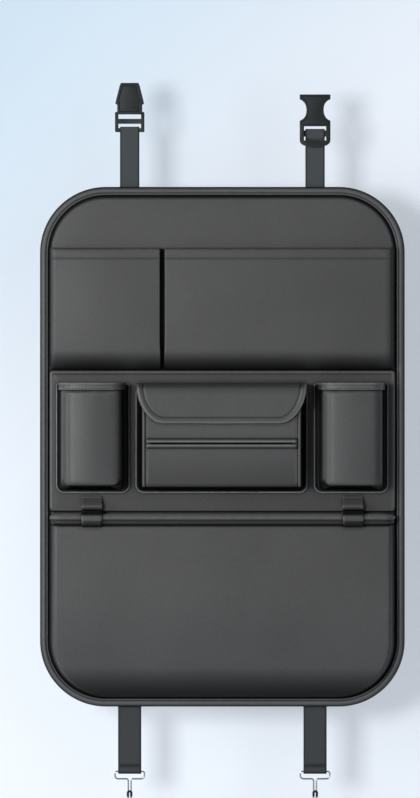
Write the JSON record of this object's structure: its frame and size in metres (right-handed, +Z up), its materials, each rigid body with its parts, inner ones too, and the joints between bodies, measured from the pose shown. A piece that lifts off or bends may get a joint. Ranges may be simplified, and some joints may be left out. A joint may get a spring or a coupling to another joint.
{
  "type": "car seat back organizer",
  "caption": "Flat padded organizer that straps to the rear of a car seat: open pockets, cup pockets, a flap box, buckled top straps and wire hooks below.",
  "frame": {"origin": "centre of the panel's rear face, which lies against the seat back", "axes": "+Z up the seat back, +Y out of the rear face, +X to the right seen from the pocket side"},
  "size_m": [0.421, 0.0721, 0.8296],
  "materials": {
    "leatherette": "dark grey smooth leatherette, fine grain, soft sheen",
    "binding": "near black leatherette binding, rolled, soft sheen",
    "lining": "black woven lining, matt",
    "board": "fibre board, matt",
    "webbing": "charcoal ribbed webbing, matt",
    "buckle_plastic": "black moulded plastic, satin",
    "steel_wire": "bright plated wire",
    "dipped_coat": "black dipped coat, satin"
  },
  "bodies": {
    "root": {"back_lining": "lining", "stiffener_board": "board", "face_panel": "leatherette", "top_pocket_left": "leatherette", "top_pocket_right": "leatherette", "middle_panel": "leatherette", "cup_pocket_left": "leatherette", "cup_pocket_right": "leatherette", "cup_rim_left": "leatherette", "cup_rim_right": "leatherette", "box_gusset": "leatherette", "box_front": "leatherette", "box_piping_left": "leatherette", "box_piping_right": "leatherette", "slit_lip_upper": "leatherette", "slit_lip_lower": "leatherette", "box_flap": "leatherette", "bottom_pocket": "leatherette", "bottom_pocket_hem": "leatherette", "closure_tab_left": "leatherette", "closure_tab_right": "leatherette", "edge_binding": "binding", "top_strap_left": "webbing", "top_strap_right": "webbing", "bottom_strap_left": "webbing", "bottom_strap_right": "webbing", "buckle_male": "buckle_plastic", "buckle_female": "buckle_plastic"},
    "left_hook": {"hook_wire_left": "steel_wire", "hook_tip_left": "dipped_coat"},
    "right_hook": {"hook_wire_right": "steel_wire", "hook_tip_right": "dipped_coat"}
  },
  "joints": [
    {"name": "left_hook_swing", "type": "hinge", "parent": "root", "child": "left_hook", "pos_m": [-0.1071, 0.0028, -0.3754], "axis": [1, 0, 0], "range_deg": [-80, 80]},
    {"name": "right_hook_swing", "type": "hinge", "parent": "root", "child": "right_hook", "pos_m": [0.1071, 0.0028, -0.3754], "axis": [1, 0, 0], "range_deg": [-80, 80]}
  ]
}
